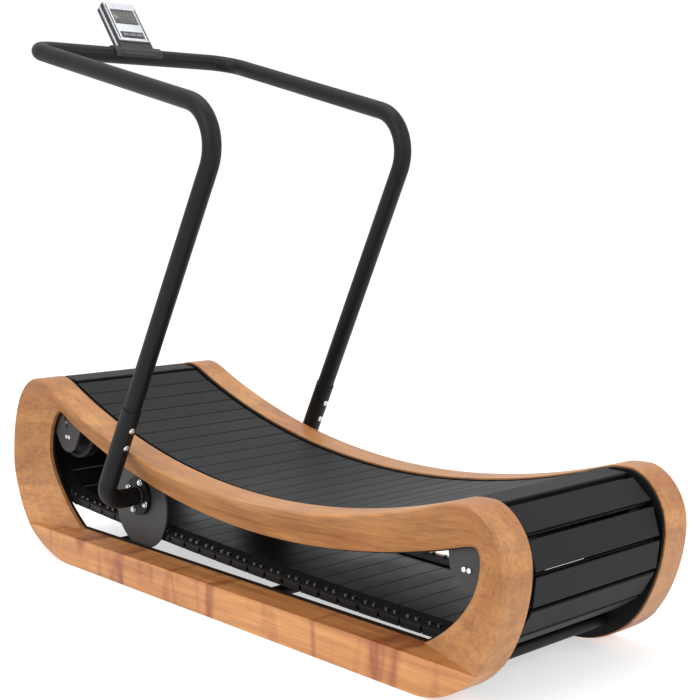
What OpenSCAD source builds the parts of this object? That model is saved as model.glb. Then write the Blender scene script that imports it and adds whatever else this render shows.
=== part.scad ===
// Curved manual treadmill: two wooden side frames, an endless slat belt on two drums and a row of
// support rollers, a bent handrail on two feet, and a small console.
// +X points to the rear, +Y to the right of a person who stands on the belt facing the console,
// +Z up. The origin is on the floor under the middle of the frame.

/* [Wooden side frames] */
// Length of the machine
frame_l = 1740; // [1720:10:1760]
// Width over both wooden frames
frame_w = 558; // [556:2:562]
// Thickness of each wooden frame
wood_t = 75; // [74:1:76]
// Height of the front crest
front_h = 469; // [466:1:472]
// Height of the rear crest
rear_h = 384; // [382:1:386]
// Height of the lowest point of the concave top
waist_h = 284; // [283:1:285]
// Radius of the concave top
deck_r = 1943; // [1935:1:1950]
// Distance of the lowest point behind the middle
deck_x = 126; // [122:1:130]
// Height of the full-thickness base rail
base_h = 76; // [74:1:78]
// Thickness left at the edge of the opening
lip_t = 10; // [8:1:14]
// Bevel on the outer rim
rim_bevel = 5; // [3:1:7]

/* [Opening in the side frames] */
// Radius of the top edge of the opening
opening_r = 2121; // [2110:1:2130]
// Height of the lowest point of that edge
opening_h = 198; // [196:1:200]
// Distance of that point behind the middle
opening_x = 114; // [110:1:118]

/* [Steel side plates] */
// Thickness of the side, mounting and axle plates
plate_t = 6; // [5:0.5:6]
// How far the plate stays inside the wooden outline
plate_inset = 3; // [2:1:5]
// How far the plate shows inside the wooden opening
plate_reveal = 4; // [3:1:6]

/* [Slat belt] */
// Length of a slat
slat_l = 378; // [370:2:380]
// Width of the rubber tread
tread_w = 58; // [56:0.5:58]
// Thickness of the rubber tread
tread_t = 5; // [4:0.5:6]
// Width of the metal slat right under the tread
slat_w = 53; // [50:0.5:54]
// Width of the metal slat at its foot
slat_foot_w = 58; // [56:0.5:58]
// Thickness of tread and slat together
slat_t = 18; // [17:0.5:19]
// Thickness of the carrier belt
belt_t = 4; // [3:0.5:4]
// Width of the carrier belt
belt_w = 50; // [46:1:52]
// How far the tread lies below the wooden top
tread_recess = 4; // [3:0.5:6]
// Radius of the sagging return run
return_r = 20000; // [18000:500:24000]
// Radius of the slat bolt heads
bolt_r = 4.5; // [4:0.5:5]
// Spacing of the two bolts at each slat end
bolt_gap = 24; // [22:1:26]

/* [Drums and rollers] */
// Radius over the treads at the front, around the pulley
front_upper_r = 120; // [119:0.5:121]
// Radius over the treads at the front, where the belt hangs free
front_lower_r = 178; // [176:0.5:179]
// Radius over the treads at the rear, around the pulley
rear_upper_r = 106; // [105:0.5:107]
// Radius over the treads at the rear, where the belt hangs free
rear_lower_r = 164; // [162:0.5:165]
// Distance of the front axle ahead of the middle
front_axle_x = 727; // [725:0.5:728]
// Distance of the rear axle behind the middle
rear_axle_x = 751; // [749:0.5:752]
// Radius of the fixed axles
axle_r = 15; // [12:0.5:16]
// Width of each pulley
pulley_w = 28; // [24:1:30]
// Radius of the support rollers
roller_r = 16; // [14:0.5:17]
// Radius of the support roller shafts
shaft_r = 5; // [4:0.5:6]

/* [Handrail] */
// Outer radius of the handrail tube
rail_r = 21; // [20:0.5:22]
// Wall of the handrail tube
rail_wall = 2; // [1.5:0.5:3]
// Distance of each upright from the middle plane
rail_y = 306; // [306:1:308]
// Distance of the feet ahead of the middle
foot_x = 382; // [380:1:384]
// Height of the feet
foot_z = 203; // [202:1:204]
// Backward lean of the uprights in degrees
rail_lean = 28.4; // [28:0.1:29]
// Inward lean of the uprights in degrees
rail_splay = 1.4; // [1:0.1:1.4]
// Length from the foot to the corner above the upright
upright_l = 1027; // [1015:1:1035]
// Rise of the grips towards the front in degrees
grip_rise = 14.4; // [13.5:0.1:15]
// Outward spread of the grips towards the front in degrees
grip_flare = 1.9; // [1.7:0.1:1.9]
// Length from that corner to the cross handle
grip_l = 786; // [780:1:790]
// Bend radius between upright and grip
knee_r = 102; // [95:1:110]
// Bend radius between grip and cross handle
corner_r = 65; // [60:1:75]
// Outer radius of the foot sleeve
sleeve_r = 23; // [23:0.5:23.5]
// Length of the foot sleeve along the upright
sleeve_l = 275; // [270:1:280]

/* [Console] */
// Width of the console
console_w = 100; // [96:1:104]
// Length of the silver panel
panel_l = 131; // [128:1:136]
// Backward lean of the console in degrees
console_lean = 37; // [34:1:40]
// Depth of the console housing
console_d = 26; // [25:1:27]
// Travel of the keys
key_travel = 1.2; // [1:0.1:1.5]

/* [Hidden] */
$fn = 64;

far = 1000;             // longer than any cut needs
run_fit = 0.05;         // radial clearance of a part that turns
seat_fit = 0.02;        // radial clearance of a part that is seated
roll_gap = 0.3;         // belt to roller and pulley
seam = 0.02;            // weld seam between two lengths of tube
wood_color = "peru";
steel_color = [0.16, 0.16, 0.17];
slat_color = [0.12, 0.12, 0.13];
bright_color = "gainsboro";

// Widths, measured from the middle plane
wood_out = frame_w / 2;
wood_in = wood_out - wood_t;
plate_out = wood_in;
plate_in = plate_out - plate_t;
bracket_in = plate_in - plate_t;
half_l = frame_l / 2;

// Heights and places of the frame's noses and corners
front_nose_z = 235;
rear_nose_z = 270;
front_crest_x = -(half_l - 148);
rear_crest_x = half_l - 90;
base_corner_x = half_l - 68;
base_front_x = -(half_l - 270);
base_rear_x = half_l - 230;
deck_start_x = -(half_l - 240);
deck_end_x = half_l - 146;

function unit(v) = v / norm(v);
function bezier(a, b, c, d, t) =
    pow(1 - t, 3) * a + 3 * pow(1 - t, 2) * t * b + 3 * (1 - t) * t * t * c + t * t * t * d;
// Points from p to q, with handles hp and hq; q itself is left to the next stretch
function curve(p, hp, q, hq, n) = [for (i = [0:n - 1]) bezier(p, p + hp, q + hq, q, i / n)];
// A point and a direction on the lower arc of a circle whose lowest point is (cx, low)
function dip(cx, low, r, x) = [x, low + r - sqrt(r * r - pow(x - cx, 2))];
function dip_dir(cx, r, x) = unit([sqrt(r * r - pow(x - cx, 2)), x - cx]);
function dip_arc(cx, low, r, x0, x1, n) =
    [for (i = [0:n - 1]) dip(cx, low, r, x0 + (x1 - x0) * i / n)];

// Outline of the wood above the base rail, from the front over the top to the rear
front_corner = [-base_corner_x, base_h];
rear_corner = [base_corner_x, base_h];
front_corner_dir = unit([-0.69, 0.72]);
rear_corner_dir = unit([-0.64, -0.77]);
front_nose = [-half_l, front_nose_z];
rear_nose = [half_l, rear_nose_z];
front_crest = [front_crest_x, front_h];
rear_crest = [rear_crest_x, rear_h];
deck_start = dip(deck_x, waist_h, deck_r, deck_start_x);
deck_end = dip(deck_x, waist_h, deck_r, deck_end_x);
outer_path = concat(
    curve(front_corner, 50 * front_corner_dir, front_nose, [0, -50], 12),
    curve(front_nose, [0, 78], front_crest, [-122, 0], 20),
    curve(front_crest, [30, 0], deck_start, -30 * dip_dir(deck_x, deck_r, deck_start_x), 8),
    dip_arc(deck_x, waist_h, deck_r, deck_start_x, deck_end_x, 28),
    curve(deck_end, 18 * dip_dir(deck_x, deck_r, deck_end_x), rear_crest, [-22, 0], 4),
    curve(rear_crest, [35, 0], rear_nose, [0, 70], 16),
    curve(rear_nose, [0, -70], rear_corner, -55 * rear_corner_dir, 14),
    [rear_corner]
);

// Outline of the opening, with one point for each point of the outer outline
opening_front_nose = [-half_l + 79, 262];
opening_rear_nose = [half_l - 117, 262];
opening_front_crest = [-half_l + 138, front_h - 95];
opening_rear_crest = [half_l - 132, rear_h - 96];
opening_front_base = [-half_l + 231, base_h];
opening_rear_base = [half_l - 260, base_h];
opening_start_x = -half_l + 206;
opening_end_x = half_l - 170;
opening_start = dip(opening_x, opening_h, opening_r, opening_start_x);
opening_end = dip(opening_x, opening_h, opening_r, opening_end_x);
inner_path = concat(
    curve(opening_front_base, 75 * unit([-0.86, 0.5]), opening_front_nose, [0, -62], 12),
    curve(opening_front_nose, [0, 57], opening_front_crest, [-27, 0], 20),
    curve(opening_front_crest, [14, 0], opening_start,
          -25 * dip_dir(opening_x, opening_r, opening_start_x), 8),
    dip_arc(opening_x, opening_h, opening_r, opening_start_x, opening_end_x, 28),
    curve(opening_end, 12 * dip_dir(opening_x, opening_r, opening_end_x), opening_rear_crest,
          [-10, 0], 4),
    curve(opening_rear_crest, [9, 0], opening_rear_nose, [0, 16], 16),
    curve(opening_rear_nose, [0, -80], opening_rear_base, 79 * unit([0.88, 0.48]), 14),
    [opening_rear_base]
);

// Underside of the base rail, from the rear corner forwards
under_path = concat(
    curve(rear_corner, 45 * rear_corner_dir, [base_rear_x, 0], [75, 0], 12),
    [[base_rear_x, 0]],
    curve([base_front_x, 0], [-85, 0], front_corner, -45 * front_corner_dir, 12)
);
// The whole outline; both stretches hold the rear corner, so it is taken once
whole_path = concat(outer_path, [for (i = [1:len(under_path) - 1]) under_path[i]]);
front_split = 46;       // station where the front end is glued to the top rail
rear_split = 66;        // station where the top rail is glued to the rear end
last_station = len(outer_path) - 1;

// Cross section of the wood: [share of the way in to the opening, distance from the middle plane]
dish_steps = 4;
dish_power = 1.15;
section = concat(
    [[0, wood_in], [0, wood_out - rim_bevel]],
    [for (i = [0:dish_steps])
        [0.05 + 0.95 * i / dish_steps,
         wood_in + lip_t + (wood_t - lip_t) * pow(1 - i / dish_steps, dish_power)]],
    [[1, wood_in]]
);

// Belt geometry: centres are [x, z]; "neutral" lines run through the middle of the carrier belt
neutral_depth = slat_t + belt_t / 2;
belt_depth = slat_t + belt_t;
deck_centre = [deck_x, waist_h + deck_r];
tread_r = deck_r + tread_recess;
function heading(from, to) = atan2(to.y - from.y, to.x - from.x);
function polar(r, angle) = r * [cos(angle), sin(angle)];
function wrap_centre(x, r) =
    [x, deck_centre.y - sqrt(pow(tread_r + r, 2) - pow(x - deck_centre.x, 2))];
front_centre = wrap_centre(-front_axle_x, front_upper_r);
rear_centre = wrap_centre(rear_axle_x, rear_upper_r);
top_start = heading(deck_centre, front_centre);
top_sweep = heading(deck_centre, rear_centre) - top_start;
// Each upper wrap holds two slats; then the belt leaves the pulley and hangs in a wider curve
slat_pitch = 60;
upper_count = 2;
function upper_sweep(r) = upper_count * slat_pitch / (r - neutral_depth) * 180 / PI;
rear_upper_sweep = upper_sweep(rear_upper_r);
rear_leave = heading(rear_centre, deck_centre) - rear_upper_sweep;
rear_low_centre = rear_centre - polar(rear_lower_r - rear_upper_r, rear_leave);
front_upper_start = heading(front_centre, deck_centre);
front_upper_sweep = upper_sweep(front_upper_r);
front_leave = front_upper_start + front_upper_sweep;
front_low_centre = front_centre - polar(front_lower_r - front_upper_r, front_leave);
// Centre of the return run, which touches both lower curves from outside
low_span = norm(rear_low_centre - front_low_centre);
to_front = return_r - front_lower_r;
to_rear = return_r - rear_lower_r;
along = (to_front * to_front - to_rear * to_rear + low_span * low_span) / (2 * low_span);
low_dir = unit(rear_low_centre - front_low_centre);
return_centre = front_low_centre + along * low_dir
    + sqrt(to_front * to_front - along * along) * [-low_dir.y, low_dir.x];
return_start = heading(return_centre, front_low_centre);
return_sweep = heading(return_centre, rear_low_centre) - return_start;
rear_lower_start = heading(return_centre, rear_low_centre);
rear_lower_sweep = rear_leave - rear_lower_start;
front_lower_sweep = return_start + 360 - front_leave;
top_count = 24;
rear_lower_count = 5;
return_count = 23;
front_lower_count = 6;

bolt_y = slat_l / 2 - 7;
belt_out = slat_l / 2 - 1;
pulley_in = 142;
pulley_out = pulley_in + pulley_w;
hub_r = 30;
bearing_r = 24;

// Support rollers under the top run
roller_first = top_start + 3.4;
roller_last = top_start + top_sweep - 3.4;
roller_count = 8;
roller_orbit = tread_r + belt_depth + roll_gap + roller_r;
roller_step = (roller_last - roller_first) / (roller_count - 1);
bush_r = 8;

// Put children on a circle in the XZ plane: local X points away from the centre
module on_circle(centre, r, angle)
    let (p = centre + polar(r, angle))
        translate([p.x, 0, p.y]) rotate([0, -angle, 0]) children();

module both_sides() {
    children();
    mirror([0, 1, 0]) children();
}

// A cylinder along Y from y0 to y1 at [x, z]
module bar_y(r, y0, y1, at = [0, 0])
    translate([at.x, y0, at.y]) rotate([-90, 0, 0]) cylinder(r = r, h = y1 - y0);

// A plate of even thickness between y0 and y1, drawn as [x, z]
module plate_y(y0, y1)
    translate([0, y1, 0]) rotate([90, 0, 0]) linear_extrude(y1 - y0) children();

// ---- Wooden frames -------------------------------------------------------------------------
function station_point(i, s) =
    let (p = outer_path[i] + (inner_path[i] - outer_path[i]) * s[0]) [p.x, s[1], p.y];

module wood_loft(first, last) {
    k = len(section);
    n = last - first;
    points = [for (i = [first:last]) for (s = section) station_point(i, s)];
    sides = [for (i = [0:n - 1]) for (j = [0:k - 1])
        let (a = i * k + j, b = i * k + (j + 1) % k)
        each [[a, b, b + k], [a, b + k, a + k]]];
    start_cap = [for (j = [0:k - 1]) k - 1 - j];
    end_cap = [for (j = [0:k - 1]) n * k + j];
    polyhedron(points, concat(sides, [start_cap, end_cap]));
}

module base_rail()
    color(wood_color) plate_y(wood_in, wood_out)
        polygon(concat(under_path, [front_corner]));

module front_end() color(wood_color) wood_loft(0, front_split);
module top_rail() color(wood_color) wood_loft(front_split, rear_split);
module rear_end() color(wood_color) wood_loft(rear_split, last_station);

// ---- Steel plates --------------------------------------------------------------------------
// Move a clockwise loop towards its inside
function inset(loop, d) =
    let (n = len(loop))
    [for (i = [0:n - 1])
        let (t = unit(loop[(i + 1) % n] - loop[(i + n - 1) % n]))
        loop[i] + d * [t.y, -t.x]];

module side_plate()
    color(steel_color) difference() {
        plate_y(plate_in, plate_out)
            difference() {
                polygon(inset(whole_path, plate_inset));
                polygon(inset(inner_path, plate_reveal));
            }
        for (k = [0:roller_count - 1])
            on_circle(deck_centre, roller_orbit, roller_first + k * roller_step)
                bar_y(bush_r + seat_fit, plate_in - 1, plate_out + 1);
    }

foot_at = [-foot_x, foot_z];
flange_r = 48;
flange_t = 10;
flange_bolt_orbit = 39;
function flange_bolt(k) = let (a = 66 + 90 * k) foot_at + flange_bolt_orbit * [cos(a), sin(a)];
screw_r = 4;

module mount_plates()
    color(steel_color) both_sides() difference() {
        plate_y(bracket_in, plate_in) {
            translate(foot_at + [0, -20]) circle(r = 112);
            translate(foot_at + [-75, -20]) square([150, 112]);
        }
        for (k = [0:3])
            bar_y(screw_r + seat_fit, bracket_in - 1, plate_in + 1, flange_bolt(k));
    }

screw_gap = 6.5;
front_screws = [-715, 307];
rear_screws = [709, 237];
slot_w = 8;
slot_l = 26;

// A plate with a slot for the axle's tension stud and two screw holes
module axle_plate(nose, nose_r, arms, screws, slot_at, slot_angle)
    difference() {
        plate_y(bracket_in, plate_in)
            hull() {
                translate(nose) circle(r = nose_r, $fn = 48);
                for (a = arms)
                    translate(nose + a) circle(r = 14, $fn = 32);
            }
        for (s = [-1, 1])
            bar_y(screw_r + seat_fit, bracket_in - 1, plate_in + 1, screws + [s * screw_gap, 0]);
        translate([slot_at.x, 0, slot_at.y]) rotate([0, slot_angle, 0]) {
            translate([-slot_w / 2, bracket_in - 1, -slot_l / 2])
                cube([slot_w, plate_t + 2, slot_l]);
            for (s = [-0.5, 0.5])
                bar_y(slot_w / 2, bracket_in - 1, plate_in + 1, [0, s * slot_l]);
        }
    }

module axle_plates()
    color(steel_color) both_sides() {
        axle_plate([-722, 315], 50, [[-56, 22], [-30, 92], [70, 58], [52, 20]], front_screws,
                   front_centre, -18);
        axle_plate([731, 237], 46, [[-58, 46], [-54, 2], [42, 62], [46, -24]], rear_screws,
                   rear_centre, 14);
    }

tube_r = 13;
tube_wall = 2;
lower_tubes = [[-560, 42], [105, 57], [722, 57]];

module cross_tube(at)
    difference() {
        bar_y(tube_r, -plate_in, plate_in, at);
        bar_y(tube_r - tube_wall, -plate_in - 1, plate_in + 1, at);
    }

// The upper tubes lie half-way between two rollers
upper_tube_slots = [0.5, 3.5, 6.5];
upper_tube_orbit = tread_r + belt_depth + 34;

module cross_tubes()
    color(steel_color) {
        for (at = lower_tubes)
            cross_tube(at);
        for (k = upper_tube_slots)
            on_circle(deck_centre, upper_tube_orbit, roller_first + k * roller_step)
                cross_tube([0, 0]);
    }

// ---- Drums ---------------------------------------------------------------------------------
stud_r = 3.5;

module axle(centre)
    color(steel_color) {
        bar_y(axle_r, -bracket_in, bracket_in, centre);
        bar_y(stud_r, -plate_in, plate_in, centre);
    }

rim_t = 10;
web_t = 12;

module pulley(centre, r)
    difference() {
        union() {
            difference() {
                bar_y(r, pulley_in, pulley_out, centre);
                bar_y(r - rim_t, pulley_in - 1, pulley_out + 1, centre);
            }
            bar_y(hub_r, pulley_in - 4, pulley_out + 4, centre);
            bar_y(r - rim_t / 2, pulley_out - 8 - web_t, pulley_out - 8, centre);
        }
        bar_y(bearing_r + seat_fit, pulley_in - far, pulley_out + far, centre);
    }

// Both pulleys of a drum on their hub tube
module pulleys(centre, wrap_r)
    color(slat_color) {
        both_sides() pulley(centre, wrap_r - belt_depth - roll_gap);
        difference() {
            bar_y(hub_r, 4 - pulley_in + seam, pulley_in - 4 - seam, centre);
            bar_y(hub_r - 3, -pulley_in, pulley_in, centre);
        }
    }

module bearings(centre)
    color(bright_color) both_sides() for (y = [pulley_in, pulley_out - 14])
        difference() {
            bar_y(bearing_r, y, y + 14, centre);
            bar_y(axle_r + run_fit, y - 1, y + 15, centre);
        }

// ---- Support rollers -----------------------------------------------------------------------
module support_roller(k)
    color(slat_color) on_circle(deck_centre, roller_orbit, roller_first + (k - 1) * roller_step) {
        bar_y(shaft_r, 1 - plate_out, plate_out - 1);
        both_sides() bar_y(roller_r, 148, 166);
    }

module roller_bushes()
    color(bright_color) both_sides() for (k = [0:roller_count - 1])
        on_circle(deck_centre, roller_orbit, roller_first + k * roller_step)
            difference() {
                union() {
                    bar_y(bush_r, plate_in, plate_out);
                    bar_y(bush_r + 3, plate_in - 3, plate_in);
                }
                bar_y(shaft_r + run_fit, plate_in - 4, plate_out + 1);
            }

// ---- Slat belt -----------------------------------------------------------------------------
// A slat is drawn as [depth below the tread, place along the belt] and runs along Y
module slat_bar(outline)
    translate([0, slat_l / 2, 0]) rotate([90, 0, 0]) linear_extrude(slat_l) polygon(outline);

module tread() {
    w = tread_w / 2;
    c = 1.5;
    slat_bar([[0, -w + c], [0, w - c], [c, w], [tread_t, w], [tread_t, -w], [c, -w]]);
}

module slat() {
    w = slat_w / 2;
    foot = slat_foot_w / 2;
    slat_bar([[tread_t, -w], [tread_t, w], [slat_t - 5, w], [slat_t - 3, foot],
              [slat_t, foot], [slat_t, -foot], [slat_t - 3, -foot], [slat_t - 5, -w]]);
}

module slat_bolts()
    both_sides() for (s = [-0.5, 0.5])
        translate([0, bolt_y, s * bolt_gap]) rotate([0, 90, 0]) {
            translate([0, 0, belt_depth]) cylinder(r = bolt_r, h = 6);
            translate([0, 0, slat_t - 8]) cylinder(r = 2.5, h = 8 + belt_t);
        }

// Lay children along one run. The treads of the top run face its centre, all others face away.
module on_run(centre, r, start, sweep, count, faces_centre = false)
    for (k = [0:count - 1])
        on_circle(centre, r, start + sweep * (k + 0.5) / count)
            mirror([faces_centre ? 0 : 1, 0, 0]) children();

// Carrier belts of one run, from inner radius r0 to outer radius r1
module run_belts(centre, r0, r1, start, sweep) {
    gap = 60 / r1;
    color(steel_color) translate([centre.x, 0, centre.y]) rotate([90, 0, 0])
        rotate([0, 0, start + gap]) for (y = [-belt_out, belt_out - belt_w])
            rotate_extrude(angle = sweep - 2 * gap, $fn = 180)
                translate([r0, y]) square([r1 - r0, belt_w]);
}

module wrap_belts(centre, r, start, sweep)
    run_belts(centre, r - belt_depth, r - slat_t, start, sweep);

// The return run is so flat that short straight lengths follow its curve
module return_belts() {
    steps = 24;
    gap = 60 / return_r;
    function at(r, i) = return_centre
        + polar(r, return_start + gap + (return_sweep - 2 * gap) * i / steps);
    band = concat([for (i = [0:steps]) at(return_r - slat_t, i)],
                  [for (i = [steps:-1:0]) at(return_r - belt_depth, i)]);
    color(steel_color) both_sides() plate_y(belt_out - belt_w, belt_out) polygon(band);
}

module top_run()
    on_run(deck_centre, tread_r, top_start, top_sweep, top_count, true) children();
module rear_upper_run()
    on_run(rear_centre, rear_upper_r, rear_leave, rear_upper_sweep, upper_count) children();
module rear_lower_run()
    on_run(rear_low_centre, rear_lower_r, rear_lower_start, rear_lower_sweep, rear_lower_count)
        children();
module return_run()
    on_run(return_centre, return_r, return_start, return_sweep, return_count) children();
module front_lower_run()
    on_run(front_low_centre, front_lower_r, front_leave, front_lower_sweep, front_lower_count)
        children();
module front_upper_run()
    on_run(front_centre, front_upper_r, front_upper_start, front_upper_sweep, upper_count)
        children();

module top_belts()
    run_belts(deck_centre, tread_r + slat_t, tread_r + belt_depth, top_start, top_sweep);
module rear_upper_belts()
    wrap_belts(rear_centre, rear_upper_r, rear_leave, rear_upper_sweep);
module rear_lower_belts()
    wrap_belts(rear_low_centre, rear_lower_r, rear_lower_start, rear_lower_sweep);
module front_lower_belts()
    wrap_belts(front_low_centre, front_lower_r, front_leave, front_lower_sweep);
module front_upper_belts()
    wrap_belts(front_centre, front_upper_r, front_upper_start, front_upper_sweep);

// ---- Handrail ------------------------------------------------------------------------------
elbow_r = 55;
socket_l = 125;
sleeve_wall = 3;
sleeve_bolts = [177, 227];
rail_start = sleeve_l - socket_l + 5;

// Directions of the right half: up along the upright, then forwards along the grip
up_dir = [sin(rail_lean) * cos(rail_splay), -sin(rail_splay), cos(rail_lean) * cos(rail_splay)];
grip_dir = [-cos(grip_rise) * cos(grip_flare), sin(grip_flare), sin(grip_rise) * cos(grip_flare)];
out_dir = [0, 1, 0];
foot_point = [-foot_x, rail_y, foot_z];
knee_point = foot_point + upright_l * up_dir;
corner_point = knee_point + grip_l * grip_dir;
cross_at = [corner_point.x, corner_point.z];
function bend_angle(a, b) = acos(a * b);
function bend_cut(r, a, b) = r * tan(bend_angle(a, b) / 2);
elbow_cut = bend_cut(elbow_r, out_dir, up_dir);
knee_cut = bend_cut(knee_r, up_dir, grip_dir);
corner_cut = bend_cut(corner_r, grip_dir, -out_dir);

// Local frame at p: X along dir, Y to the side that towards points to
module leg(p, dir, towards) {
    y = unit(towards - (towards * dir) * dir);
    z = cross(dir, y);
    multmatrix([[dir.x, y.x, z.x, p.x], [dir.y, y.y, z.y, p.y], [dir.z, y.z, z.z, p.z],
                [0, 0, 0, 1]])
        children();
}

module ring(r, wall) difference() {
    circle(r = r);
    circle(r = r - wall);
}

module pipe(r, wall, x0, x1)
    translate([x0, 0, 0]) rotate([0, 90, 0]) linear_extrude(x1 - x0) ring(r, wall);

// A straight length from x0 up to a bend at the local origin that turns towards +Y
module pipe_and_bend(r, wall, x0, bend_r, angle) {
    start = -bend_r * tan(angle / 2);
    pipe(r, wall, x0, start);
    translate([start, bend_r, 0]) rotate([0, 0, -90])
        rotate_extrude(angle = angle) translate([bend_r, 0]) ring(r, wall);
}

module sleeve_bolt_holes()
    for (x = sleeve_bolts)
        translate([x, 0, -sleeve_r - 1]) cylinder(r = screw_r + seat_fit, h = 10);

module flange()
    difference() {
        bar_y(flange_r, plate_in, plate_in + flange_t, foot_at);
        bar_y(sleeve_r - sleeve_wall, plate_in - 1, plate_in + flange_t + 1, foot_at);
        for (k = [0:3])
            bar_y(screw_r + seat_fit, plate_in - 1, plate_in + flange_t + 1, flange_bolt(k));
    }

// Flange, bent stub and the sleeve that holds the upright
module foot() {
    flange();
    leg(foot_point, out_dir, up_dir)
        pipe_and_bend(sleeve_r, sleeve_wall, plate_in + flange_t + seam - rail_y, elbow_r,
                      bend_angle(out_dir, up_dir));
    leg(foot_point, up_dir, out_dir) difference() {
        translate([elbow_cut + seam, 0, 0]) rotate([0, 90, 0])
            cylinder(r = sleeve_r, h = sleeve_l - elbow_cut - seam);
        rotate([0, 90, 0]) cylinder(r = sleeve_r - sleeve_wall, h = sleeve_l);
        translate([sleeve_l - socket_l, 0, 0]) rotate([0, 90, 0])
            cylinder(r = rail_r + seat_fit, h = socket_l + 1);
        sleeve_bolt_holes();
    }
}

module feet()
    color(steel_color) both_sides() foot();

module frame_bolts()
    color(bright_color) both_sides() {
        for (k = [0:3]) {
            bar_y(screw_r, bracket_in, plate_in + flange_t, flange_bolt(k));
            bar_y(7, plate_in + flange_t, plate_in + flange_t + 5, flange_bolt(k));
        }
        leg(foot_point, up_dir, out_dir) for (x = sleeve_bolts) {
            translate([x, 0, -sleeve_r - 4]) cylinder(r = 6.5, h = 4);
            translate([x, 0, -sleeve_r]) cylinder(r = screw_r, h = 9);
        }
        for (at = [front_screws, rear_screws]) for (s = [-1, 1]) {
            bar_y(screw_r, bracket_in - 5, plate_in, at + [s * screw_gap, 0]);
            bar_y(5, plate_in, plate_in + 4, at + [s * screw_gap, 0]);
            bar_y(6, bracket_in - 5, bracket_in, at + [s * screw_gap, 0]);
        }
    }

// Half of the handrail on the right: upright, knee, grip, corner and half the cross handle
module rail_half() {
    leg(knee_point, up_dir, grip_dir)
        pipe_and_bend(rail_r, rail_wall, rail_start - upright_l, knee_r,
                      bend_angle(up_dir, grip_dir));
    leg(corner_point, grip_dir, -out_dir)
        pipe_and_bend(rail_r, rail_wall, knee_cut + seam - grip_l, corner_r,
                      bend_angle(grip_dir, -out_dir));
    translate([cross_at.x, 0, cross_at.y]) rotate([90, 0, 0])
        translate([0, 0, -(corner_point.y - corner_cut - seam)])
            linear_extrude(corner_point.y - corner_cut - seam) ring(rail_r, rail_wall);
}

module handrail()
    color(steel_color) difference() {
        both_sides() rail_half();
        both_sides() leg(foot_point, up_dir, out_dir) sleeve_bolt_holes();
    }

// ---- Console -------------------------------------------------------------------------------
saddle_r = 25;
saddle_l = 144;
saddle_drop = 4;
housing_low = -44;
panel_t = 4;
panel_w = console_w - 6;
// Lower edge of the panel, seen from the cross handle: along the housing and out of it
panel_up = 30;
panel_out = 24;

// Local frame: X to the right, Y up along the panel, Z out of the panel; origin at its lower edge
module at_console()
    translate([cross_at.x, 0, cross_at.y]) rotate([0, -console_lean, 0]) rotate([90, 0, 90])
        translate([0, panel_up, panel_out]) children();

module slab(w, y0, y1, z0, z1, r = 6)
    translate([0, 0, z0]) linear_extrude(z1 - z0) {
        translate([-w / 2 + r, y0]) square([w - 2 * r, y1 - y0]);
        translate([-w / 2, y0 + r]) square([w, y1 - y0 - 2 * r]);
        for (x = [-w / 2 + r, w / 2 - r]) for (y = [y0 + r, y1 - r])
            translate([x, y]) circle(r = r);
    }

key_y = [11, 28];
key_w = 17;
key_h = 9;
key_pitch = 21;
window_y = [62, 104];
window_w = 64;

module console_housing()
    color(steel_color) difference() {
        union() {
            at_console() slab(console_w, housing_low, panel_l + 2, -console_d, 0);
            bar_y(saddle_r, -saddle_l / 2, saddle_l / 2, cross_at);
        }
        bar_y(rail_r + seat_fit, -saddle_l, saddle_l, cross_at);
        // The saddle lies on the upper half of the handle only
        translate([cross_at.x - 60, -saddle_l, cross_at.y - saddle_drop - 60])
            cube([120, 2 * saddle_l, 60]);
        at_console() translate([-window_w / 2 - 2, key_y[0], -6])
            cube([window_w + 4, key_y[1] - key_y[0], 7]);
    }

module console_panel()
    color(bright_color) at_console() difference() {
        slab(panel_w, 0, panel_l, 0, panel_t);
        translate([-window_w / 2, window_y[0], panel_t - 1.5])
            cube([window_w, window_y[1] - window_y[0], 3]);
        for (k = [-1:1])
            translate([k * key_pitch - key_w / 2 - 0.4, (key_y[0] + key_y[1] - key_h) / 2 - 0.4, -1])
                cube([key_w + 0.8, key_h + 0.8, panel_t + 2]);
    }

module key(k)
    color(slat_color) at_console()
        translate([(k - 2) * key_pitch - key_w / 2, (key_y[0] + key_y[1] - key_h) / 2, -2])
            cube([key_w, key_h, panel_t + 2 + key_travel + 0.8]);

mirror([0, 1, 0]) base_rail();  // left_base_rail
base_rail();  // right_base_rail
mirror([0, 1, 0]) front_end();  // left_front_end
front_end();  // right_front_end
mirror([0, 1, 0]) top_rail();  // left_top_rail
top_rail();  // right_top_rail
mirror([0, 1, 0]) rear_end();  // left_rear_end
rear_end();  // right_rear_end
mirror([0, 1, 0]) side_plate();  // left_side_plate
side_plate();  // right_side_plate
mount_plates();
axle_plates();
cross_tubes();
axle(front_centre);  // front_axle
axle(rear_centre);  // rear_axle
frame_bolts();
roller_bushes();
pulleys(front_centre, front_upper_r);  // front_pulleys
bearings(front_centre);  // front_bearings
pulleys(rear_centre, rear_upper_r);  // rear_pulleys
bearings(rear_centre);  // rear_bearings
support_roller(1);  // support_roller_1
support_roller(2);  // support_roller_2
support_roller(3);  // support_roller_3
support_roller(4);  // support_roller_4
support_roller(5);  // support_roller_5
support_roller(6);  // support_roller_6
support_roller(7);  // support_roller_7
support_roller(8);  // support_roller_8
color(slat_color) top_run() slat();  // top_slats
color(slat_color) top_run() tread();  // top_treads
top_belts();
color(bright_color) top_run() slat_bolts();  // top_bolts
color(slat_color) rear_upper_run() slat();  // rear_upper_slats
color(slat_color) rear_upper_run() tread();  // rear_upper_treads
rear_upper_belts();
color(bright_color) rear_upper_run() slat_bolts();  // rear_upper_bolts
color(slat_color) rear_lower_run() slat();  // rear_lower_slats
color(slat_color) rear_lower_run() tread();  // rear_lower_treads
rear_lower_belts();
color(bright_color) rear_lower_run() slat_bolts();  // rear_lower_bolts
color(slat_color) return_run() slat();  // return_slats
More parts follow.
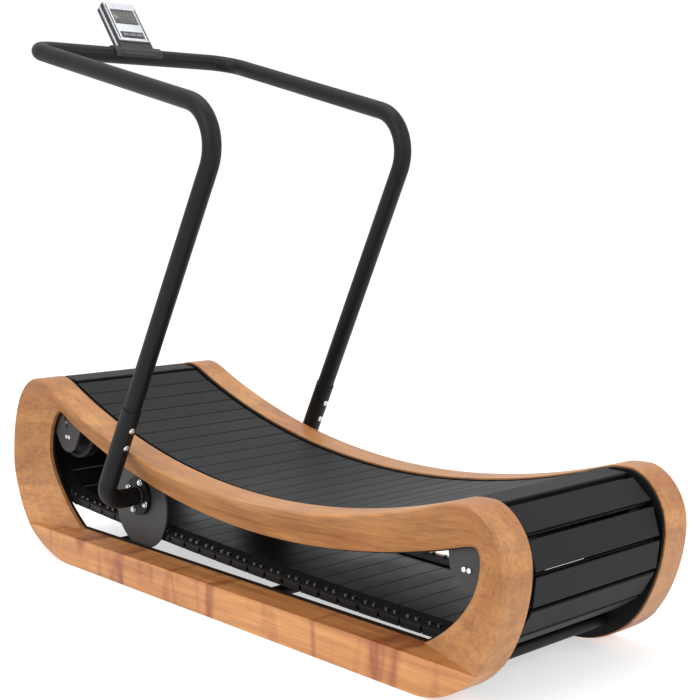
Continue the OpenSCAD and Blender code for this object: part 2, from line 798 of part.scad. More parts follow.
color(slat_color) return_run() tread();  // return_treads
return_belts();
color(bright_color) return_run() slat_bolts();  // return_bolts
color(slat_color) front_lower_run() slat();  // front_lower_slats
color(slat_color) front_lower_run() tread();  // front_lower_treads
front_lower_belts();
color(bright_color) front_lower_run() slat_bolts();  // front_lower_bolts
color(slat_color) front_upper_run() slat();  // front_upper_slats
color(slat_color) front_upper_run() tread();  // front_upper_treads
front_upper_belts();
color(bright_color) front_upper_run() slat_bolts();  // front_upper_bolts
feet();
handrail();
console_housing();
console_panel();
key(1);  // key_1
key(2);  // key_2
key(3);  // key_3
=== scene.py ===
"""Looks of the curved manual treadmill.

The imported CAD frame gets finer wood, bolts and console pieces, and stands in a pale studio.
"""
import math

import bpy
import numpy as np
from mathutils import Matrix, Vector


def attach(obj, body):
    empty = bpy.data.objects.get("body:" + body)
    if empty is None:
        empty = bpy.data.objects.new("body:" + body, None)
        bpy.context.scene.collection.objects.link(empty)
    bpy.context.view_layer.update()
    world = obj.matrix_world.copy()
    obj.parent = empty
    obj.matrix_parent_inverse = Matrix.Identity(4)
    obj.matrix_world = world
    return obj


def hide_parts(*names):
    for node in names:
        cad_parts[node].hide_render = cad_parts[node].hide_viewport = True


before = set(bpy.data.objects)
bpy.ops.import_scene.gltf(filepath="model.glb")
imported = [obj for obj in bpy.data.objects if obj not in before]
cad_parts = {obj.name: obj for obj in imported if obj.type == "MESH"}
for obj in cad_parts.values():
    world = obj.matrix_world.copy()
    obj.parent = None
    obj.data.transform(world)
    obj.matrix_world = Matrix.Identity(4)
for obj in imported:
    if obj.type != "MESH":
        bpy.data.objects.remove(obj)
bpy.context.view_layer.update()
MM = 0.001


# ---- Shading helpers -----------------------------------------------------------------------
def srgb(r, g, b):
    """Linear colour of an sRGB colour from 0 to 255."""
    def line(c):
        c = c / 255.0
        return c / 12.92 if c <= 0.04045 else ((c + 0.055) / 1.055) ** 2.4
    return (line(r), line(g), line(b), 1.0)


class Look:
    """A material with one Principled shader and short ways to add nodes."""

    def __init__(self, name, color, rough, metal=0.0, gloss=0.5):
        self.mat = bpy.data.materials.new(name)
        self.mat.use_nodes = True
        self.tree = self.mat.node_tree
        self.shader = self.tree.nodes["Principled BSDF"]
        self.shader.inputs["Base Color"].default_value = color
        self.shader.inputs["Roughness"].default_value = rough
        self.shader.inputs["Metallic"].default_value = metal
        self.shader.inputs["Specular IOR Level"].default_value = gloss

    def node(self, kind, **inputs):
        made = self.tree.nodes.new("ShaderNode" + kind)
        for key, value in inputs.items():
            made.inputs[key.replace("_", " ")].default_value = value
        return made

    def link(self, source, target):
        self.tree.links.new(source, target)

    def place(self, scale, turn=(0.0, 0.0, 0.0)):
        """Coordinates of the point in the object's own frame, in metres, times scale."""
        coords = self.node("TexCoord")
        mapping = self.node("Mapping", Scale=scale, Rotation=turn)
        self.link(coords.outputs["Object"], mapping.inputs["Vector"])
        return mapping.outputs["Vector"]

    def noise(self, scale, detail=4.0, rough=0.5, distort=0.0, turn=(0.0, 0.0, 0.0)):
        made = self.node("TexNoise", Scale=1.0, Detail=detail, Roughness=rough, Distortion=distort)
        self.link(self.place(scale, turn), made.inputs["Vector"])
        return made.outputs["Fac"]

    def ramp(self, source, stops):
        made = self.node("ValToRGB")
        elements = made.color_ramp.elements
        while len(elements) < len(stops):
            elements.new(0.5)
        for element, (place, color) in zip(elements, stops):
            element.position = place
            element.color = color
        self.link(source, made.inputs["Fac"])
        return made.outputs["Color"]

    def mix(self, share, a, b, how="MIX"):
        made = self.tree.nodes.new("ShaderNodeMix")
        made.data_type = "RGBA"
        made.blend_type = how
        for value, socket in ((share, made.inputs[0]), (a, made.inputs[6]), (b, made.inputs[7])):
            if isinstance(value, (float, tuple)):
                socket.default_value = value
            else:
                self.link(value, socket)
        return made.outputs[2]

    def color(self, source):
        self.link(source, self.shader.inputs["Base Color"])

    def vary_rough(self, source, low, high):
        made = self.node("MapRange", From_Min=0.3, From_Max=0.7, To_Min=low, To_Max=high)
        self.link(source, made.inputs["Value"])
        self.link(made.outputs["Result"], self.shader.inputs["Roughness"])

    def bump(self, source, height, strength=1.0):
        made = self.node("Bump", Strength=strength, Distance=height)
        self.link(source, made.inputs["Height"])
        self.link(made.outputs["Normal"], self.shader.inputs["Normal"])


def grained(name, dark, light, rough, metal, grain, bump_height, wear=(9.0, 9.0, 9.0), gloss=0.5):
    """Paint, plastic, rubber or metal: two close tones, a fine grain, and faintly uneven gloss."""
    look = Look(name, light, rough, metal, gloss)
    patches = look.noise(wear, detail=5.0)
    look.color(look.ramp(patches, [(0.32, dark), (0.68, light)]))
    fine = look.noise(grain, detail=3.0, rough=0.6)
    look.vary_rough(patches, rough * 0.85, min(1.0, rough * 1.15))
    look.bump(fine, bump_height)
    return look.mat


def wood_look(name, light, mid, dark, red, patch_scale, patch_turn, patch_share):
    """Oiled laminated boards: boards lie flat, with their grain along X."""
    look = Look(name, mid, 0.42)
    brick = look.node("TexBrick", Scale=1.0, Mortar_Size=0.0006, Mortar_Smooth=0.2, Bias=0.0,
                      Brick_Width=0.21, Row_Height=0.034)
    brick.offset = 0.37
    for key, value in (("Color1", (0.0, 0.0, 0.0, 1.0)), ("Color2", (1.0, 1.0, 1.0, 1.0)),
                       ("Mortar", (0.2, 0.2, 0.2, 1.0))):
        brick.inputs[key].default_value = value
    coords = look.node("TexCoord")
    split = look.node("SeparateXYZ")
    join = look.node("CombineXYZ")
    look.link(coords.outputs["Object"], split.inputs["Vector"])
    look.link(split.outputs["X"], join.inputs["X"])
    look.link(split.outputs["Z"], join.inputs["Y"])
    look.link(join.outputs["Vector"], brick.inputs["Vector"])
    grain = look.noise((5.0, 120.0, 120.0), detail=8.0, rough=0.62, distort=0.25)
    streaks = look.noise((1.8, 26.0, 26.0), detail=5.0, rough=0.55, distort=0.5)
    patches = look.noise(patch_scale, detail=3.0, rough=0.45, distort=0.7, turn=(0.0, patch_turn, 0.0))
    tone = look.ramp(streaks, [(0.34, light), (0.66, mid)])
    boards = look.ramp(brick.outputs["Color"], [(0.0, light), (1.0, mid)])
    tone = look.mix(0.4, tone, boards)
    blush = look.ramp(patches, [(0.50, (0.0, 0.0, 0.0, 1.0)), (0.68, (patch_share,) * 3 + (1.0,))])
    tone = look.mix(blush, tone, red)
    fibres = look.ramp(grain, [(0.34, dark), (0.60, (1.0, 1.0, 1.0, 1.0))])
    tone = look.mix(0.34, tone, fibres, "MULTIPLY")
    look.color(tone)
    look.vary_rough(grain, 0.4, 0.56)
    look.shader.inputs["Coat Weight"].default_value = 0.08
    look.shader.inputs["Coat Roughness"].default_value = 0.35
    look.bump(grain, 0.0002, 0.5)
    return look.mat


WOOD = wood_look("oiled wood", srgb(190, 134, 76), srgb(150, 98, 50), srgb(128, 80, 40), srgb(156, 96, 50),
                 (5.5, 3.0, 9.0), 0.75, 0.6)
WOOD_BASE = wood_look("oiled wood base", srgb(208, 146, 86), srgb(170, 110, 60), srgb(128, 80, 44),
                      srgb(134, 66, 36), (15.0, 3.0, 3.0), 0.6, 0.8)
PAINT = grained("powder coat", srgb(10, 10, 11), srgb(14, 14, 15), 0.5, 0.0, (900.0,) * 3, 0.00005,
                gloss=0.22)
PLATE_BLACK = grained("black plate", srgb(10, 10, 11), srgb(14, 14, 15), 0.5, 0.0, (700.0,) * 3, 0.00004,
                      gloss=0.2)
PLATE_GREY = grained("grey plate", srgb(44, 44, 46), srgb(54, 54, 56), 0.5, 0.1, (800.0,) * 3, 0.00004,
                     gloss=0.4)
TREAD = grained("tread rubber", srgb(13, 13, 14), srgb(20, 20, 21), 0.58, 0.0, (260.0, 900.0, 900.0),
                0.00008, (3.0, 1.2, 3.0), gloss=0.22)
PROFILE = grained("anodised slat", srgb(12, 12, 13), srgb(18, 18, 19), 0.4, 0.1, (900.0, 14.0, 900.0),
                  0.00003, gloss=0.3)
BELT = grained("belt rubber", srgb(9, 9, 9), srgb(14, 14, 14), 0.8, 0.0, (500.0,) * 3, 0.00008, gloss=0.2)
BRIGHT = grained("bright bolts", (0.62, 0.62, 0.62, 1.0), (0.82, 0.82, 0.82, 1.0), 0.16, 1.0,
                 (500.0,) * 3, 0.00001)
BELT_BOLT = grained("belt bolts", (0.07, 0.07, 0.075, 1.0), (0.13, 0.13, 0.135, 1.0), 0.36, 1.0,
                    (500.0,) * 3, 0.00001)
STEEL = grained("turned steel", (0.36, 0.36, 0.37, 1.0), (0.5, 0.5, 0.51, 1.0), 0.3, 1.0,
                (700.0, 30.0, 700.0), 0.00002)
DRUM = grained("drum paint", srgb(14, 14, 15), srgb(20, 20, 21), 0.5, 0.0, (600.0,) * 3, 0.00004, gloss=0.3)
NYLON = grained("roller nylon", srgb(18, 18, 19), srgb(24, 24, 25), 0.55, 0.0, (300.0, 60.0, 300.0), 0.00003,
                gloss=0.3)
SHELL = grained("console shell", srgb(20, 20, 21), srgb(26, 26, 27), 0.45, 0.0, (1200.0,) * 3, 0.00004,
                gloss=0.4)
SILVER = grained("silver lacquer", srgb(176, 178, 182), srgb(198, 200, 204), 0.32, 0.5, (60.0, 2400.0, 60.0),
                 0.00001)
KEY = grained("key rubber", srgb(92, 94, 97), srgb(106, 108, 112), 0.6, 0.0, (1500.0,) * 3, 0.00003)
DARK = grained("dark inlay", srgb(20, 20, 22), srgb(26, 26, 28), 0.3, 0.0, (900.0,) * 3, 0.00002)
SEGMENT = grained("display segments", srgb(18, 19, 17), srgb(26, 27, 24), 0.4, 0.0, (900.0,) * 3, 0.00001)
GLASS = grained("display window", srgb(74, 76, 70), srgb(88, 90, 83), 0.12, 0.0, (20.0,) * 3, 0.000002)
WELD = grained("weld bead", srgb(24, 24, 25), srgb(32, 32, 33), 0.45, 0.0, (260.0,) * 3, 0.0004, gloss=0.35)


# ---- Mesh helpers --------------------------------------------------------------------------
def piece(name, points, faces, mat, body, sharp=35.0, bevel=0.0, weld=False):
    """A mesh piece, with points in metres in the row frame, that rides on a CAD body."""
    mesh = bpy.data.meshes.new(name)
    mesh.from_pydata([tuple(p) for p in points], [], [tuple(f) for f in faces])
    mesh.validate()
    mesh.materials.append(mat)
    made = bpy.data.objects.new(name, mesh)
    bpy.context.scene.collection.objects.link(made)
    finish_mesh(made, sharp, bevel)
    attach(made, body)
    return made


def finish_mesh(made, sharp, bevel):
    mesh = made.data
    mesh.polygons.foreach_set("use_smooth", [True] * len(mesh.polygons))
    if bevel:
        cut = made.modifiers.new("edges", "BEVEL")
        cut.width = bevel
        cut.segments = 3
        cut.limit_method = "ANGLE"
        cut.angle_limit = math.radians(sharp)
        cut.use_clamp_overlap = False
        made.modifiers.new("normals", "WEIGHTED_NORMAL")
    else:
        mesh.set_sharp_from_angle(angle=math.radians(sharp))


def dress(node, mat, bevel=0.0, angle=32.0):
    """Give a carried-over CAD node its material, softened edges and smooth normals."""
    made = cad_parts[node]
    mesh = made.data
    mesh.materials.clear()
    mesh.materials.append(mat)
    if bevel:
        if "custom_normal" in mesh.attributes:
            mesh.attributes.remove(mesh.attributes["custom_normal"])
        mesh.polygons.foreach_set("use_smooth", [True] * len(mesh.polygons))
        join = made.modifiers.new("join", "WELD")
        join.merge_threshold = 0.00002
        cut = made.modifiers.new("edges", "BEVEL")
        cut.width = bevel
        cut.segments = 2
        cut.limit_method = "ANGLE"
        cut.angle_limit = math.radians(angle)
        cut.use_clamp_overlap = True
        made.modifiers.new("normals", "WEIGHTED_NORMAL")
    return made


def loft(sections, closed_ends=True):
    """Points and faces of a skin over equal closed loops of points."""
    n = len(sections[0])
    points = [p for loop in sections for p in loop]
    faces = []
    for i in range(len(sections) - 1):
        for j in range(n):
            a = i * n + j
            b = i * n + (j + 1) % n
            faces.append((a, b, b + n, a + n))
    if closed_ends:
        faces.append(tuple(reversed(range(n))))
        last = (len(sections) - 1) * n
        faces.append(tuple(range(last, last + n)))
    return points, faces


def axes_for(direction):
    """Two directions across the given one."""
    d = Vector(direction).normalized()
    side = d.orthogonal().normalized()
    return d, side, d.cross(side)


def lathe(profile, centre, direction, steps=36, radius_of=None):
    """Points and faces of a turned shape.

    profile is [(radius, height)], and radius_of(k, angle, r) may reshape ring k.
    """
    d, u, v = axes_for(direction)
    loops = []
    for k, (r, h) in enumerate(profile):
        loop = []
        for i in range(steps):
            a = 2 * math.pi * i / steps
            rr = radius_of(k, a, r) if radius_of else r
            loop.append(Vector(centre) + d * h + u * (rr * math.cos(a)) + v * (rr * math.sin(a)))
        loops.append(loop)
    return loft(loops)


def merged(parts):
    """One set of points and faces from several."""
    points, faces = [], []
    for p, f in parts:
        base = len(points)
        points += list(p)
        faces += [tuple(i + base for i in face) for face in f]
    return points, faces


def ring_tube(path, radius, steps=12):
    """A closed bead of the given radius round a closed path."""
    n = len(path)
    loops = []
    for i in range(n):
        t = (path[(i + 1) % n] - path[i - 1]).normalized()
        out = (path[i] - sum(path, Vector()) / n).normalized()
        up = t.cross(out)
        loops.append([path[i] + out * (radius * math.cos(2 * math.pi * j / steps))
                      + up * (radius * math.sin(2 * math.pi * j / steps)) for j in range(steps)])
    loops.append(loops[0])
    return loft(loops, closed_ends=False)


# ---- Wooden frames -------------------------------------------------------------------------
HALF_L = 870.0
WOOD_OUT, WOOD_IN = 279.0, 204.0
LIP = 10.0
BASE_H = 76.0
RIM_R = 6.0
DISH_POWER = 1.15


def unit(x, z):
    length = math.hypot(x, z)
    return np.array([x / length, z / length])


def curve(p, hp, q, hq, n):
    """Points from p to q along a curve with handles hp and hq; q itself is left to the next stretch."""
    p, hp, q, hq = (np.array(a, float) for a in (p, hp, q, hq))
    made = []
    for i in range(n):
        t = i / n
        made.append((1 - t) ** 3 * p + 3 * (1 - t) ** 2 * t * (p + hp)
                    + 3 * (1 - t) * t * t * (q + hq) + t ** 3 * q)
    return made


def dip(cx, low, r, x):
    """Point on the lower arc of a circle whose lowest point is (cx, low)."""
    return np.array([x, low + r - math.sqrt(r * r - (x - cx) ** 2)])


def dip_dir(cx, r, x):
    return unit(math.sqrt(r * r - (x - cx) ** 2), x - cx)


def dip_arc(cx, low, r, x0, x1, n):
    return [dip(cx, low, r, x0 + (x1 - x0) * i / n) for i in range(n)]


COUNTS = (26, 40, 14, 60, 8, 32, 28)        # points on each stretch, from the front corner to the rear one
FRONT_CORNER, REAR_CORNER = np.array([68 - HALF_L, BASE_H]), np.array([HALF_L - 68, BASE_H])
FRONT_DIR, REAR_DIR = unit(-0.69, 0.72), unit(-0.64, -0.77)
OUT_CX, OUT_LOW, OUT_R = 126.0, 284.0, 1943.0
IN_CX, IN_LOW, IN_R = 114.0, 198.0, 2121.0


def outer_path():
    start_x, end_x = 240 - HALF_L, HALF_L - 146
    start, end = dip(OUT_CX, OUT_LOW, OUT_R, start_x), dip(OUT_CX, OUT_LOW, OUT_R, end_x)
    front_nose, rear_nose = (-HALF_L, 235), (HALF_L, 270)
    front_crest, rear_crest = (148 - HALF_L, 469), (HALF_L - 90, 384)
    n = COUNTS
    return (curve(FRONT_CORNER, 50 * FRONT_DIR, front_nose, (0, -50), n[0])
            + curve(front_nose, (0, 78), front_crest, (-122, 0), n[1])
            + curve(front_crest, (30, 0), start, -30 * dip_dir(OUT_CX, OUT_R, start_x), n[2])
            + dip_arc(OUT_CX, OUT_LOW, OUT_R, start_x, end_x, n[3])
            + curve(end, 18 * dip_dir(OUT_CX, OUT_R, end_x), rear_crest, (-22, 0), n[4])
            + curve(rear_crest, (35, 0), rear_nose, (0, 70), n[5])
            + curve(rear_nose, (0, -70), REAR_CORNER, -55 * REAR_DIR, n[6])
            + [REAR_CORNER])


def inner_path():
    start_x, end_x = 206 - HALF_L, HALF_L - 170
    start, end = dip(IN_CX, IN_LOW, IN_R, start_x), dip(IN_CX, IN_LOW, IN_R, end_x)
    front_base, rear_base = (231 - HALF_L, BASE_H), (HALF_L - 260, BASE_H)
    front_nose, rear_nose = (79 - HALF_L, 262), (HALF_L - 117, 262)
    front_crest, rear_crest = (138 - HALF_L, 374), (HALF_L - 132, 288)
    n = COUNTS
    return (curve(front_base, 75 * unit(-0.86, 0.5), front_nose, (0, -62), n[0])
            + curve(front_nose, (0, 57), front_crest, (-27, 0), n[1])
            + curve(front_crest, (14, 0), start, -25 * dip_dir(IN_CX, IN_R, start_x), n[2])
            + dip_arc(IN_CX, IN_LOW, IN_R, start_x, end_x, n[3])
            + curve(end, 12 * dip_dir(IN_CX, IN_R, end_x), rear_crest, (-10, 0), n[4])
            + curve(rear_crest, (9, 0), rear_nose, (0, 16), n[5])
            + curve(rear_nose, (0, -80), rear_base, 79 * unit(0.88, 0.48), n[6])
            + [np.array(rear_base)])


def wood_section(outer, inner, side):
    """Loop across the wood: square inner face, rounded outer rim, hollow outer face and a thin lip."""
    width = float(np.linalg.norm(inner - outer))
    across = [(0.0, WOOD_IN), (0.0, WOOD_OUT - RIM_R)]
    for a in (20, 40, 60, 80):
        s, c = math.sin(math.radians(a)), math.cos(math.radians(a))
        across.append((RIM_R * (1 - c), WOOD_OUT - RIM_R * (1 - s)))
    steps = 12
    for i in range(1, steps):
        t = i / steps
        depth = RIM_R + (width - RIM_R - 1.5) * t
        across.append((depth, WOOD_IN + LIP + (WOOD_OUT - WOOD_IN - LIP) * (1 - t) ** DISH_POWER))
    across += [(width - 1.2, WOOD_IN + LIP), (width, WOOD_IN + LIP - 1.2), (width, WOOD_IN)]
    loop = []
    for depth, y in across:
        p = outer + (inner - outer) * (depth / width)
        loop.append(Vector((p[0], side * y, p[1])) * MM)
    return loop if side > 0 else list(reversed(loop))


def build_wood():
    outer, inner = outer_path(), inner_path()
    front = COUNTS[0] + COUNTS[1] + COUNTS[2] + int(COUNTS[3] * 6 / 28)
    rear = COUNTS[0] + COUNTS[1] + COUNTS[2] + int(COUNTS[3] * 26 / 28)
    spans = (("front_end", 0, front), ("top_rail", front, rear), ("rear_end", rear, len(outer) - 1))
    for word, side in (("left", -1), ("right", 1)):
        for part, first, last in spans:
            sections = [wood_section(outer[i], inner[i], side) for i in range(first, last + 1)]
            points, faces = loft(sections)
            made = piece(f"wood_{word}_{part}", points, faces, WOOD, "frame", sharp=28.0)
            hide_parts(f"{word}_{part}")
        base_rail(word, side)


def base_rail(word, side):
    """The straight lower rail with its curved toes."""
    under = (curve(REAR_CORNER, 45 * REAR_DIR, (HALF_L - 230, 0), (75, 0), 28) + [(HALF_L - 230, 0)]
             + curve((270 - HALF_L, 0), (-85, 0), FRONT_CORNER, -45 * FRONT_DIR, 28) + [FRONT_CORNER])
    loops = []
    for y in (WOOD_IN, WOOD_OUT):
        loops.append([Vector((p[0], side * y, p[1])) * MM for p in under])
    if side < 0:
        loops.reverse()
    points, faces = loft(loops)
    made = piece(f"wood_{word}_base_rail", points, faces, WOOD_BASE, "frame", bevel=0.0022)
    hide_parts(f"{word}_base_rail")


# ---- Bolts, washers and welds --------------------------------------------------------------
def socket_screw(centre, direction, r, height, socket, washer=0.0):
    """A socket screw head that stands on the given point, on a washer if one is asked for."""
    profile = []
    base = 0.0
    if washer:
        profile += [(washer, 0.0), (washer, 1.0), (washer - 0.4, 1.4)]
        base = 1.4
    rim = height - 0.18 * r
    profile += [(r, base), (r, rim), (r * 0.96, height - 0.06 * r), (r * 0.86, height)]
    hexed = len(profile)
    profile += [(socket, height), (socket * 0.98, height - 0.6 * socket),
                (socket * 0.3, height - 0.75 * socket)]

    def radius(k, angle, ring_r):
        if k < hexed:
            return ring_r
        turn = (angle % (math.pi / 3)) - math.pi / 6
        return ring_r * math.cos(math.pi / 6) / math.cos(turn)
    scaled = [(a * MM, b * MM) for a, b in profile]
    return lathe(scaled, Vector(centre) * MM, direction, radius_of=radius)


FOOT_X, FOOT_Z, RAIL_Y = -382.0, 203.0, 306.0
LEAN, SPLAY = math.radians(28.4), math.radians(1.4)
PLATE_IN = WOOD_IN - 6.0
BRACKET_IN = PLATE_IN - 6.0
FLANGE_FACE = PLATE_IN + 10.0
SLEEVE_R = 23.0
BOLT_ORBIT = 39.0
FRONT_AXLE, REAR_AXLE = (-727.0, 344.215), (751.0, 271.448)
AXLE_SCREWS = ((-715.0, 307.0), (709.0, 237.0))
AXLE_SCREW_SHIFT = 6.5
FLANGE_BOLTS = 4
FIRST_FLANGE_BOLT = 66          # degrees, from +X towards +Z
SLEEVE_BOLTS = (177.0, 227.0)   # places along the upright
BEARING_FACE = 170.2            # just outside the outer bearing
RING_STEPS = 48


def upright_axes(side):
    """Directions along the upright of one side and square to it towards the rear."""
    along = Vector((math.sin(LEAN) * math.cos(SPLAY), -side * math.sin(SPLAY),
                    math.cos(LEAN) * math.cos(SPLAY)))
    outward = Vector((0.0, side, 0.0))
    outward = (outward - along * outward.dot(along)).normalized()
    return along, side * outward.cross(along)


def hex_nut(centre, direction, r, height):
    """A chamfered nut that stands on the given point."""
    profile = [(r, 0.0), (r, height * 0.85), (r * 0.9, height)]
    return lathe([(a * MM, b * MM) for a, b in profile], Vector(centre) * MM, direction, steps=6)


def build_bolts():
    """Socket heads on the flanges, sleeves and axle plates, and the nuts behind the axle plates."""
    parts = []
    for side in (-1, 1):
        for k in range(FLANGE_BOLTS):
            a = math.radians(FIRST_FLANGE_BOLT + 90 * k)
            centre = (FOOT_X + BOLT_ORBIT * math.cos(a), side * FLANGE_FACE,
                      FOOT_Z + BOLT_ORBIT * math.sin(a))
            parts.append(socket_screw(centre, (0, side, 0), 6.4, 5.4, 3.3, washer=7.8))
        along, rearward = upright_axes(side)
        for place in SLEEVE_BOLTS:
            centre = Vector((FOOT_X, side * RAIL_Y, FOOT_Z)) + along * place + rearward * (SLEEVE_R - 0.3)
            parts.append(socket_screw(centre, rearward, 6.2, 4.0, 3.1, washer=7.2))
        for x, z in AXLE_SCREWS:
            for shift in (-AXLE_SCREW_SHIFT, AXLE_SCREW_SHIFT):
                parts.append(socket_screw((x + shift, side * PLATE_IN, z), (0, side, 0), 5.4, 4.6, 2.6))
                parts.append(hex_nut((x + shift, side * BRACKET_IN, z), (0, -side, 0), 6.0, 4.8))
    points, faces = merged(parts)
    made = piece("socket_bolts", points, faces, BRIGHT, "frame", sharp=30.0)
    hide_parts("frame_bolts")


def build_welds():
    """A rippled bead where each stub meets its flange."""
    beads = []
    for side in (-1, 1):
        path = []
        for i in range(72):
            a = 2 * math.pi * i / 72
            ripple = 0.5 * math.sin(18 * a)
            r = SLEEVE_R + 1.2 + ripple * 0.4
            path.append(Vector((FOOT_X + r * math.cos(a), side * (FLANGE_FACE + 1.2),
                                FOOT_Z + r * math.sin(a))) * MM)
        beads.append(ring_tube(path, 2.6 * MM))
    points, faces = merged(beads)
    piece("foot_weld_beads", points, faces, WELD, "frame", sharp=70.0)


def build_seals():
    """A dark ribbed seal in the outer face of each drum."""
    for body, (x, z) in (("front_drum", FRONT_AXLE), ("rear_drum", REAR_AXLE)):
        rings = []
        for side in (-1, 1):
            profile = [(16.2, 0.0), (22.8, 0.0), (22.8, 0.5), (21.6, 0.9), (20.0, 0.6), (17.6, 0.6),
                       (16.2, 0.9), (16.2, 0.0)]
            scaled = [(a * MM, b * MM) for a, b in profile]
            d, u, v = axes_for((0, side, 0))
            loops = []
            for r, h in scaled:
                loops.append([Vector((x * MM, side * BEARING_FACE * MM, z * MM)) + d * h
                              + u * (r * math.cos(2 * math.pi * i / RING_STEPS))
                              + v * (r * math.sin(2 * math.pi * i / RING_STEPS))
                              for i in range(RING_STEPS)])
            rings.append(loft(loops, closed_ends=False))
        points, faces = merged(rings)
        piece(f"{body}_seals", points, faces, BELT, body, sharp=40.0)


# ---- Console -------------------------------------------------------------------------------
CROSS = Vector((-654.55, 0.0, 1301.49))
TILT = math.radians(37.0)
UP = Vector((-math.sin(TILT), 0.0, math.cos(TILT)))
OUT = Vector((math.cos(TILT), 0.0, math.sin(TILT)))
ACROSS = Vector((0.0, 1.0, 0.0))
PANEL = CROSS + UP * 30.0 + OUT * 24.0


def on_panel(x, y, z):
    """A point in millimetres across, up and out of the silver panel, in the row frame in metres."""
    return (PANEL + ACROSS * x + UP * y + OUT * z) * MM


def panel_slab(x0, x1, y0, y1, z0, z1, r=1.0, edge=0.3):
    """A flat block on the panel with rounded corners and a softened upper edge."""
    def outline(inset, z):
        loop = []
        rr = max(r - inset, 0.05)
        corners = ((x1 - r, y1 - r, 0), (x0 + r, y1 - r, 90), (x0 + r, y0 + r, 180),
                   (x1 - r, y0 + r, 270))
        for cx, cy, start in corners:
            for i in range(6):
                a = math.radians(start + 18 * i)
                loop.append(on_panel(cx + rr * math.cos(a), cy + rr * math.sin(a), z))
        return loop
    return loft([outline(0.0, z0), outline(0.0, z1 - edge), outline(edge * 0.3, z1 - edge * 0.3),
                 outline(edge, z1)])


def digit(x, y, w, h, z):
    """The seven bars of one display figure."""
    t = h * 0.11
    bars = []
    for level in (0.0, 0.5, 1.0):
        yy = y + level * (h - t)
        bars.append(panel_slab(x + t, x + w - t, yy, yy + t, z, z + 0.05, r=t * 0.3, edge=0.02))
    for column in (0.0, 1.0):
        for half in (0.0, 0.5):
            xx = x + column * (w - t)
            yy = y + t + half * (h - t)
            bars.append(panel_slab(xx, xx + t, yy, yy + (h - t) / 2 - t, z, z + 0.05, r=t * 0.3, edge=0.02))
    return bars


DIGITS_PER_ROW = 5
DIGIT_PITCH = 10.6
DIGIT_H = 8.5
DIGIT_W = 5.2
DISPLAY_ROWS = (66.0, 79.0, 91.5)
KEY_GAPS = (-32.6, -10.5, 10.5, 32.6)       # middles of the bars beside and between the keys


def build_console():
    """Display, key surround, dark inlays, side trims and back screws of the console."""
    points, faces = panel_slab(-31.8, 31.8, 62.2, 103.8, 2.4, 3.4, r=1.2)
    piece("display_glass", points, faces, GLASS, "frame", sharp=30.0)
    bars = []
    for y in DISPLAY_ROWS:
        for k in range(DIGITS_PER_ROW):
            bars += digit(-25.0 + DIGIT_PITCH * k, y, DIGIT_W, DIGIT_H, 3.42)
    points, faces = merged(bars)
    piece("display_figures", points, faces, SEGMENT, "frame", sharp=30.0)
    frame_bars = [panel_slab(-35.0, 35.0, 104.4, 108.2, 3.9, 4.5, r=1.6),
                  panel_slab(-35.0, 35.0, 57.8, 61.6, 3.9, 4.5, r=1.6),
                  panel_slab(-35.6, -32.4, 58.0, 108.0, 3.9, 4.5, r=1.4),
                  panel_slab(32.4, 35.6, 58.0, 108.0, 3.9, 4.5, r=1.4)]
    points, faces = merged(frame_bars)
    piece("display_frame", points, faces, DARK, "frame", sharp=30.0)
    strips = [panel_slab(-35.0, 35.0, 8.4, 14.2, 3.9, 4.4, r=0.8),
              panel_slab(-35.0, 35.0, 24.8, 30.8, 3.9, 4.4, r=0.8)]
    for edge in KEY_GAPS:
        half = 1.3 if abs(edge) < 20.0 else 2.4
        strips.append(panel_slab(edge - half, edge + half, 13.8, 25.2, 3.9, 4.3, r=0.3))
    points, faces = merged(strips)
    piece("key_frame", points, faces, DARK, "frame", sharp=30.0)
    inlays = [panel_slab(-44.6, -40.6, 6.0, 124.0, 3.9, 4.3, r=1.6),
              panel_slab(40.6, 44.6, 4.0, 112.0, 3.9, 4.3, r=1.6)]
    points, faces = merged(inlays)
    piece("panel_inlays", points, faces, DARK, "frame", sharp=30.0)
    trims = []
    for side in (-1, 1):
        x = side * 50.0
        lo, hi = sorted((x - side * 0.2, x + side * 0.9))
        trims.append(panel_slab(lo, hi, -30.0, 128.0, -15.0, -8.0, r=0.3))
    points, faces = merged(trims)
    piece("console_side_trims", points, faces, SILVER, "frame", sharp=30.0)
    screws = []
    for x in (-38.0, 38.0):
        for y in (4.0, 118.0):
            centre = (PANEL + ACROSS * x + UP * y - OUT * 25.9)
            screws.append(socket_screw(centre, -OUT, 2.8, 1.2, 1.3))
    points, faces = merged(screws)
    piece("console_back_screws", points, faces, STEEL, "frame", sharp=30.0)


# ---- Carried-over CAD nodes ----------------------------------------------------------------
def dress_all():
    """Material and edge width, in metres, of every CAD node that stays visible."""
    for run in ("top", "rear_upper", "rear_lower", "return", "front_lower", "front_upper"):
        dress(f"{run}_slats", PROFILE, 0.0007)
        dress(f"{run}_treads", TREAD, 0.0009)
        dress(f"{run}_belts", BELT, 0.0005)
        dress(f"{run}_bolts", BELT_BOLT, 0.0006)
    for side in ("left", "right"):
        dress(f"{side}_side_plate", PLATE_BLACK, 0.0006)
    for end in ("front", "rear"):
        dress(f"{end}_axle", STEEL, 0.0008)
        dress(f"{end}_pulleys", DRUM, 0.0008)
        dress(f"{end}_bearings", STEEL, 0.0006)
    dress("mount_plates", PLATE_GREY, 0.0008)
    dress("axle_plates", PLATE_GREY, 0.0008)
    dress("cross_tubes", PAINT, 0.0006)
    for k in range(1, 9):
        dress(f"support_roller_{k}", NYLON, 0.0008)
    dress("roller_bushes", STEEL, 0.0005)
    dress("feet", PAINT, 0.0008)
    dress("handrail", PAINT, 0.0004)
    dress("console_housing", SHELL, 0.0012)
    dress("console_panel", SILVER, 0.0007)
    for k in (1, 2, 3):
        dress(f"key_{k}", KEY, 0.0008)


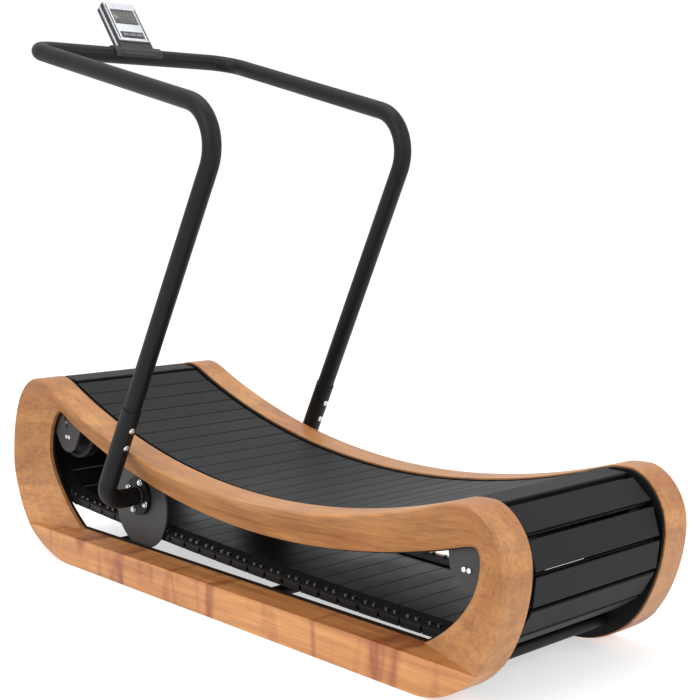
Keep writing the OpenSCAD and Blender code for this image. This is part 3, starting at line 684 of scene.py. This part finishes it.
# ---- Studio --------------------------------------------------------------------------------
def build_floor():
    size = 30.0
    mesh = bpy.data.meshes.new("floor")
    corners = [(-size, -size, 0.0), (size, -size, 0.0), (size, size, 0.0), (-size, size, 0.0)]
    mesh.from_pydata(corners, [], [(0, 1, 2, 3)])
    floor = bpy.data.objects.new("floor", mesh)
    bpy.context.scene.collection.objects.link(floor)
    look = Look("pale floor", (0.52, 0.52, 0.52, 1.0), 0.9, gloss=0.0)
    look.shader.inputs["Emission Color"].default_value = (1.0, 1.0, 1.0, 1.0)
    look.shader.inputs["Emission Strength"].default_value = 0.56
    mesh.materials.append(look.mat)
    floor.location.z = -0.0005


def area_light(name, place, target, size, power):
    data = bpy.data.lights.new(name, "AREA")
    data.shape = "RECTANGLE"
    data.size, data.size_y = size
    data.energy = power
    made = bpy.data.objects.new(name, data)
    bpy.context.scene.collection.objects.link(made)
    made.location = place
    made.rotation_euler = (Vector(target) - Vector(place)).to_track_quat("-Z", "Y").to_euler()
    return made


def build_light():
    world = bpy.data.worlds.new("studio")
    bpy.context.scene.world = world
    world.use_nodes = True
    back = world.node_tree.nodes["Background"]
    back.inputs["Color"].default_value = (1.0, 1.0, 1.0, 1.0)
    back.inputs["Strength"].default_value = 1.02
    area_light("key", (0.6, -4.4, 3.4), (0.0, 0.0, 0.4), (2.6, 2.2), 120.0)
    area_light("rear", (4.2, 1.4, 2.8), (0.2, 0.0, 0.3), (2.0, 2.0), 60.0)
    area_light("top", (-0.4, 0.2, 4.2), (0.0, 0.0, 0.3), (2.4, 1.6), 50.0)


SENSOR_MM = 36.0
LENS_MM = 67.937143


def build_camera():
    """The camera at the viewing angle that was worked out for the object."""
    azimuth, pitch, roll = math.radians(47.61), math.radians(6.45), math.radians(-0.5)
    right = Vector((math.cos(azimuth), math.sin(azimuth), 0.0))
    ahead = Vector((-math.sin(azimuth) * math.cos(pitch), math.cos(azimuth) * math.cos(pitch),
                    -math.sin(pitch)))
    up = right.cross(ahead)
    turned_right = right * math.cos(roll) + up * math.sin(roll)
    turned_up = up * math.cos(roll) - right * math.sin(roll)
    data = bpy.data.cameras.new("camera")
    data.sensor_width = SENSOR_MM
    data.lens = LENS_MM
    data.dof.use_dof = False
    made = bpy.data.objects.new("camera", data)
    bpy.context.scene.collection.objects.link(made)
    turn = Matrix((turned_right, turned_up, -ahead)).transposed().to_4x4()
    made.matrix_world = Matrix.Translation(Vector((2.3326, -1.971, 0.9211))) @ turn
    bpy.context.scene.camera = made


build_wood()
build_bolts()
build_welds()
build_seals()
build_console()
dress_all()
build_floor()
build_light()
build_camera()
bpy.context.scene.view_settings.view_transform = "Standard"

bpy.context.view_layer.update()
